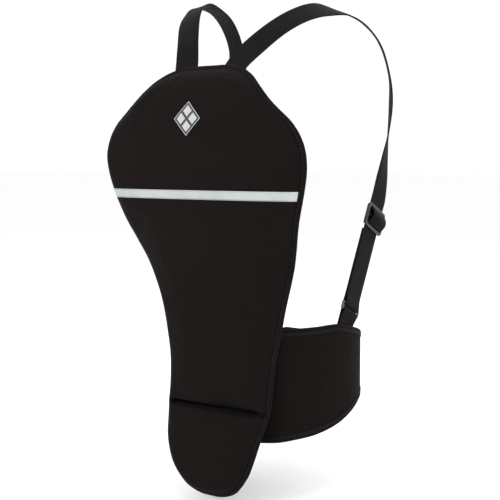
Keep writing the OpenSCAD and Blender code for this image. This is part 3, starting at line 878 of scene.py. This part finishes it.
crease_strip("crease_flex_strip", flex_rows, 0.8, 62, TAPE, "flex_strip", 0.15)

# ---------- straps


def in_frame(side, x, y, h):
    """From the lower strap's frame (outwards, across, up the strap) to the object's."""
    c, s = math.cos(LEAN), math.sin(LEAN)
    return (side * (LOOP_PIVOT[0] + x), LOOP_PIVOT[1] + y * c + h * s,
            LOOP_PIVOT[2] - y * s + h * c)


def ribbon(points, facings, width, thick, mirror=1, crown=0.12):
    """A soft-edged band along points; returns the rings and the cloth's coordinates."""
    pts = [Vector(p) for p in points]
    rings, uv, v = [], [], 0
    half = width / 2
    section = [(-half, 0.0)]
    for y in (-half + 0.5, -half + 2, -half * 0.5, 0, half * 0.5, half - 2, half - 0.5):
        section.append((y, thick / 2 * (0.72 if abs(y) > half - 1 else 1)
                        + crown * (1 - (y / half) ** 2)))
    section.append((half, 0.0))
    for y in (half - 0.5, half - 2, half * 0.5, 0, -half * 0.5, -half + 2, -half + 0.5):
        section.append((y, -thick / 2 * (0.72 if abs(y) > half - 1 else 1)))
    for i, p in enumerate(pts):
        ahead = (pts[min(i + 1, len(pts) - 1)] - pts[max(i - 1, 0)]).normalized()
        across = ahead.cross(Vector(facings[i])).normalized()
        out = across.cross(ahead).normalized()
        v += (p - pts[i - 1]).length if i else 0
        ring = []
        for a, b in section:
            wob = 0.06 * noise(Vector((a / 9, v / 14, 4.2 * mirror)))
            q = p + across * a + out * (b + wob)
            ring.append((q.x * mirror, q.y, q.z))
            uv.append((a, v))
        rings.append(ring)
    return rings, uv, v


def strap_points(side):
    """The whole strap: from the panel, over the shoulder, round the loop and back up.
    Returns its points and the way that its outer face looks at each."""
    none = [(0, 0, 0)] * len(STRAP_ROUTE)
    shift, turn = (LEFT_SHIFT, LEFT_TURN) if side < 0 else (none, none)
    route = [tuple(a + b for a, b in zip(p, q)) for p, q in zip(STRAP_ROUTE, shift)]
    route += [in_frame(1, 0, 0, LOWER_RUN + h) for h in (16, 8, 0.4)]
    facing = [tuple(a + b for a, b in zip(p, q)) for p, q in zip(STRAP_FACING, turn)]
    facing += [(1, 0, 0)] * 3
    points, ways = [], []
    steps = (len(route) - 1) * 8
    for i in range(steps + 1):
        s = i / 8
        points.append(along(route, s))
        ways.append(Vector(along(facing, s)).normalized())
    plan = [(0.0, LOWER_RUN - k * 6) for k in range(1, 21)]
    plan += [(0.1, LOOP_H + 14), (0.4, LOOP_H + 11), (1.0, LOOP_H + 8), (1.8, LOOP_H + 4.6)]
    plan += [(WRAP_R * math.cos(a), LOOP_H - WRAP_R * math.sin(a))
             for a in (math.radians(15 * k) for k in range(0, 13))]
    plan += [(-2.4, LOOP_H + 4.6), (-2.2, LOOP_H + 8), (-2.1, LOOP_H + 12)]
    plan += [(-2.05, 27 + k * 6) for k in range(0, 15)]
    points += [in_frame(1, x, 0, h) for x, h in plan]
    spots = [Vector((x, h)) for x, h in plan]
    for i in range(len(plan)):
        d = (spots[min(i + 1, len(plan) - 1)] - spots[max(i - 1, 0)]).normalized()
        local = Vector((-d.y, d.x))
        a, b = Vector(in_frame(1, 0, 0, 0)), Vector(in_frame(1, local.x, 0, local.y))
        ways.append(b - a)
    return points, ways


def sewn(under, facing, side, i, y):
    """A stitch on the wearer's side of an anchor patch, y across it, and its direction."""
    ahead = (under[i + 1] - under[i - 1]).normalized()
    out = Vector(facing[i]).normalized()
    q = under[i] + ahead.cross(out).normalized() * y - out * 0.72
    return (q.x * side, q.y, q.z), (-out.x * side, -out.y, -out.z)


for side, label in ((1, "right"), (-1, "left")):
    points, ways = strap_points(side)
    rings, uv, length = ribbon(points, ways, WEB_W, WEB_T, side)
    strap = outward(make(f"strap_webbing_{label}", *loft(rings), None, WEBBING, uv,
                         slot="webbing_black"))
    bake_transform(strap)
    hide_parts(f"shoulder_strap_{label}", f"lower_strap_{label}")

    # the strap's sewn end, under a square of fabric with a box of stitches
    route = points[:17]
    facing = ways[:17]
    under = [Vector(p) - Vector(w).normalized() * 2.1 for p, w in zip(route, facing)]
    rings, uv, length = ribbon(under, facing, WEB_W + 7, 1.2, side, 0.05)
    patch = outward(make(f"anchor_patch_{label}", *loft(rings), "back_panel", TAPE, uv,
                         replaces=("strap_anchor_patches",) if side > 0 else (),
                         slot="webbing_black"))
    box = [[sewn(under, facing, side, i, y) for i in range(1, 16)] for y in (-17, -15, 15, 17)]
    box += [[sewn(under, facing, side, i, 2 * k) for k in range(-8, 9)] for i in (2, 4, 13, 15)]
    dashes(f"anchor_stitches_{label}", box, "back_panel", 3.0, 2.1, 0.26)

# ---------- adjusters and tabs


def rounded(half_a, half_b, radius, steps=4):
    """A closed section with rounded corners, as (a, b) points."""
    out = []
    for ca, cb, start in ((1, 1, 0), (-1, 1, 90), (-1, -1, 180), (1, -1, 270)):
        for k in range(steps + 1):
            t = math.radians(start + 90 * k / steps)
            out.append((ca * (half_a - radius) + radius * math.cos(t),
                        cb * (half_b - radius) + radius * math.sin(t)))
    return out


FRAME_W, FRAME_H, FRAME_T, FRAME_X = WEB_W + 10, 32, 3, WEB_T / 2 + 0.3


def adjuster(side, label):
    """A moulded frame with rounded corners and a ribbed middle bar, in one piece."""
    verts, faces = [], []

    def add(v, f):
        base = len(verts)
        verts.extend(v)
        faces.extend(tuple(i + base for i in face) for face in f)

    rings = []
    loop = rounded(FRAME_W / 2 - 2, FRAME_H / 2 - 2, 3.2, 8)
    n = len(loop)
    for i, (y, h) in enumerate(loop):
        a, b = Vector(loop[i - 1]), Vector(loop[(i + 1) % n])
        d = (b - a).normalized()
        out = Vector((d.y, -d.x))
        deep = 1.0 if abs(out.x) > 0.7 else 0.0
        ring = []
        for p, q in rounded(2.0, FRAME_T / 2, 1.1, 3):
            x = FRAME_X + FRAME_T / 2 + q - (1.6 * deep if q < 0 else 0)
            ring.append(in_frame(side, x, y + out.x * p, ADJUSTER_H + h + out.y * p))
        rings.append(ring)
    add(*loft(rings, wrap=True))
    rings = []
    span = FRAME_W / 2 - 3
    count = 68
    for i in range(count + 1):
        y = span * (2 * i / count - 1)
        rib = 1.45 + (0.28 if i % 2 else 0) * smooth((span - abs(y)) / 3)
        rings.append([in_frame(side, FRAME_X + FRAME_T / 2 + rib * math.cos(math.tau * k / 14), y,
                               ADJUSTER_H + rib * math.sin(math.tau * k / 14))
                      for k in range(14)])
    add(*loft(rings))
    piece = make(f"adjuster_frame_{label}", verts, faces, f"slider_{label}", PLASTIC,
                 replaces=(f"adjuster_{label}",), slot="hardware")
    return outward(piece)


def slider_webbing(side, label):
    half = FRAME_H / 2 - 4.5
    rings, uv = [], []
    for i in range(33):
        t = i / 16 - 1
        x = FRAME_X + 3.1 + 4.5 * (1 - t * t) - 1.3 * t * t
        ring = []
        for y, q in rounded(WEB_W / 2, WEB_T / 2, 0.6, 2):
            ring.append(in_frame(side, x + WEB_T / 2 + q, y, ADJUSTER_H + t * half))
            uv.append((y, t * half * 1.25))
        rings.append(ring)
    return outward(make(f"slider_web_{label}", *loft(rings), f"slider_{label}", WEBBING, uv,
                        replaces=(f"slider_webbing_{label}",), slot="webbing_black"))


def plane_ribbon(side, plan, width):
    """A band whose path is (outwards, height) in the lower strap's frame."""
    points, ways = [], []
    for i, (x, h) in enumerate(plan):
        a, b = plan[max(0, i - 1)], plan[min(len(plan) - 1, i + 1)]
        d = Vector((b[0] - a[0], b[1] - a[1])).normalized()
        points.append(in_frame(1, x, 0, h))
        ways.append(Vector(in_frame(1, -d.y, 0, d.x)) - Vector(in_frame(1, 0, 0, 0)))
    return ribbon(points, ways, width, WEB_T - 0.1, side, 0.05)


for side, label in ((1, "right"), (-1, "left")):
    adjuster(side, label)
    slider_webbing(side, label)
    plan = [(-0.35, -28 + 3 * k) for k in range(6)] + [(0.1, -10.5), (0.9, -7.5), (1.8, -4.5)]
    plan += [(WRAP_R * math.cos(a), WRAP_R * math.sin(a))
             for a in (math.radians(15 * k) for k in range(0, 13))]
    plan += [(-WRAP_R, -3 * k) for k in range(1, 16)]
    rings, uv, _ = plane_ribbon(side, plan, WEB_W)
    outward(make(f"tab_webbing_{label}", *loft(rings), "back_panel", WEBBING, uv,
                 replaces=(f"strap_tab_{label}",), slot="webbing_black"))
    runs = []
    for h in (-13, -16, -26, -43):
        runs.append([(in_frame(side, -3.42, y, h), (-side, 0, 0)) for y in range(-16, 17, 2)])
    dashes(f"tab_stitches_{label}", runs, "back_panel", 2.6, 1.9, 0.26)

# ---------- belt

HEM_W = 9
LAP_SHIFT = 3.6     # how far each front end moves out of the other's way


def belt_frame(s, way):
    """The belt's point and outward direction at s, moved over where the two ends overlap."""
    lap = way * LAP_SHIFT * smooth((s - HINGE_S) / (LAP_S - HINGE_S))
    p = Vector(along(BELT_PATH, s))
    d = (Vector(along(BELT_PATH, s + 0.02)) - Vector(along(BELT_PATH, s - 0.02))).normalized()
    out = Vector((d.y, -d.x))
    return p + out * lap, out


def belt_band(name, side, way, start, end):
    """Knitted elastic with raised hems on both edges and a rounded tip."""
    half = [(0.0, 0.0), (0.03, 1.35), (0.5, 2.1), (1.6, 2.65), (3.2, 2.8), (HEM_W - 1.2, 2.7),
            (HEM_W - 0.35, 2.45), (HEM_W, 2.0), (HEM_W + 1.5, 1.95), (HEM_W + 5, 2.05)]
    rings, uv = [], []
    v, last = 0, None
    count = int((end - start) * 14)
    for i in range(count + 1):
        s = start + (end - start) * i / count
        p, out = belt_frame(s, way)
        v += (p - last).length if last else 0
        last = p
        z0, z1 = along(BELT_LOW, s), along(BELT_HIGH, s)
        tip = 1 - smooth((end - s) / 0.28) if end > 8 else 0
        drop = 7 * tip * tip
        z0, z1 = z0 + drop, z1 - drop
        soft = 1 - 0.55 * tip ** 3
        rows = [(z0 + u, o) for u, o in half]
        rows += [(z0 + HEM_W + 5 + (z1 - z0 - 2 * HEM_W - 10) * k / 10, 2.05) for k in range(1, 10)]
        rows += [(z1 - u, o) for u, o in reversed(half)]
        ring = []
        for z, o in rows:
            ripple = 0.3 * noise(Vector((s * 5, z / 26, 2.2 * side)))
            by_hem = min(abs(z - z0), abs(z1 - z)) < 16
            fine = 0.14 * noise(Vector((v / 3.5, z / 24, 6))) if by_hem else 0
            q = p + out * ((o + (ripple + fine) * (1 if o > 1 else 0)) * soft)
            ring.append((q.x * side, q.y, z))
            uv.append((z, v))
        for z, o in reversed(rows[1:-1]):
            o = -min(o, 2.0) - 0.15
            ripple = 0.2 * noise(Vector((s * 5, z / 26, 2.2 * side)))
            q = p + out * ((o + ripple) * soft)
            ring.append((q.x * side, q.y, z))
            uv.append((z, v))
        rings.append(ring)
    piece = make(name, *loft(rings), None, [BELT_KNIT, TAPE], uv, slot="knit_black")
    n = len(rings[0])
    hem = len(half) - 3
    outer = 2 * len(half) + 9
    for f in piece.data.polygons:
        j = f.index % n
        if f.index < n * (len(rings) - 1):
            inside = j >= outer - 1
            row = j if not inside else 2 * outer - 3 - j
            f.material_index = 1 if row < hem or row > outer - 2 - hem else 0
        else:
            f.material_index = 1
    outward(piece)
    return piece, v


def belt_line(side, way, start, end, inset_mm, from_top, rise, count):
    run = []
    for i in range(count + 1):
        s = start + (end - start) * i / count
        p, out = belt_frame(s, way)
        z = along(BELT_HIGH, s) - inset_mm if from_top else along(BELT_LOW, s) + inset_mm
        q = p + out * rise
        run.append(((q.x * side, q.y, z), (out.x * side, out.y, 0)))
    return run


for side, way, label in ((1, 1, "right"), (-1, -1, "left")):
    band, length = belt_band(f"belt_band_{label}", side, way, 0.0, TIP_S)
    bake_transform(band)
    nodes = [f"belt_side_{label}", f"belt_front_{label}", f"belt_hem_side_{label}",
             f"belt_hem_front_{label}"]
    if side > 0:
        nodes.append("belt_back_panel")
    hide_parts(*nodes)
    area = 0
    for i in range(200):
        s = TIP_S * i / 200
        step = math.dist(along(BELT_PATH, s), along(BELT_PATH, s + TIP_S / 200))
        area += step * (along(BELT_HIGH, s) - along(BELT_LOW, s))
    runs = []
    for from_top in (False, True):
        for inset_mm in (HEM_W - 1.8, HEM_W - 3.6):
            runs.append(belt_line(side, way, 1.95, TIP_S - 0.3, inset_mm, from_top, 2.78, 260))
    stitches = dashes(f"belt_stitches_{label}", runs, None, 3.6, 2.5, 0.24)
    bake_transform(stitches)


def closure(name, side, way, out, material, node):
    """One half of the hook-and-loop closure: a thin sewn strip with soft edges."""
    rings, uv = [], []
    count = 36
    start, end = 9.4, TIP_S - 0.16
    for i in range(count + 1):
        s = start + (end - start) * i / count
        p, o = belt_frame(s, way)
        z0, z1 = along(BELT_LOW, s) + HEM_W + 1, along(BELT_HIGH, s) - HEM_W - 1
        thin = 0.55 if i in (0, count) else 1
        ring = []
        mid, half = (z0 + z1) / 2, (z1 - z0) / 2
        for a, b in rounded(half, 0.62 * thin, 0.4 * thin, 2):
            q = p + o * (out + b)
            ring.append((q.x * side, q.y, mid + a))
            uv.append((a, s * 40))
        rings.append(ring)
    return outward(make(name, *loft(rings), f"belt_{'right' if side > 0 else 'left'}_end", material,
                        uv, replaces=(node,), slot="hook_pile"))


closure("hook_closure", 1, 1, -2.75, HOOKS, "hook_patch")
closure("pile_closure", -1, -1, 2.75, PILE, "loop_patch")

# ---------- floor, light and camera

ground = bpy.data.materials.new("pale_floor")
ground.use_nodes = True
paint = ground.node_tree.nodes["Principled BSDF"].inputs
paint["Base Color"].default_value = (0.93, 0.93, 0.93, 1)
paint["Roughness"].default_value = 0.9
mesh = bpy.data.meshes.new("floor")
reach, ground_z = 30.0, -0.19
mesh.from_pydata([(-reach, -reach, ground_z), (reach, -reach, ground_z), (reach, reach, ground_z),
                  (-reach, reach, ground_z)], [], [(0, 1, 2, 3)])
mesh.materials.append(ground)
floor = bpy.data.objects.new("floor", mesh)
bpy.context.scene.collection.objects.link(floor)

world = bpy.data.worlds.new("studio")
bpy.context.scene.world = world
world.use_nodes = True
sky = world.node_tree.nodes["Background"].inputs
sky["Color"].default_value = (1, 1, 1, 1)
sky["Strength"].default_value = 1.05


def lamp(name, place_m, target, size, power):
    light = bpy.data.lights.new(name, "AREA")
    light.shape = "DISK"
    light.size = size
    light.energy = power
    obj = bpy.data.objects.new(name, light)
    obj.location = place_m
    way = Vector(target) - Vector(place_m)
    obj.rotation_euler = way.to_track_quat("-Z", "Y").to_euler()
    bpy.context.scene.collection.objects.link(obj)


lamp("key", (-0.6, -1.9, 1.3), (0, 0, 0.15), 1.2, 22)
lamp("side", (1.9, -0.4, 0.8), (0, 0, 0.1), 1.2, 14)
lamp("back", (0.3, 1.9, 1.5), (0, 0, 0.2), 1.6, 18)

camera = bpy.data.cameras.new("camera")
camera.lens = 76.1
camera.sensor_width = 36
camera.clip_end = 100
view = bpy.data.objects.new("camera", camera)
camera.shift_x = -0.0016
view.location = (0.80676, -1.04736, 0.23786)
view.rotation_euler = Vector((-0.58566, 0.80610, -0.08490)).to_track_quat("-Z", "Y").to_euler()
bpy.context.scene.collection.objects.link(view)
bpy.context.scene.camera = view
bpy.context.scene.view_settings.view_transform = "Standard"
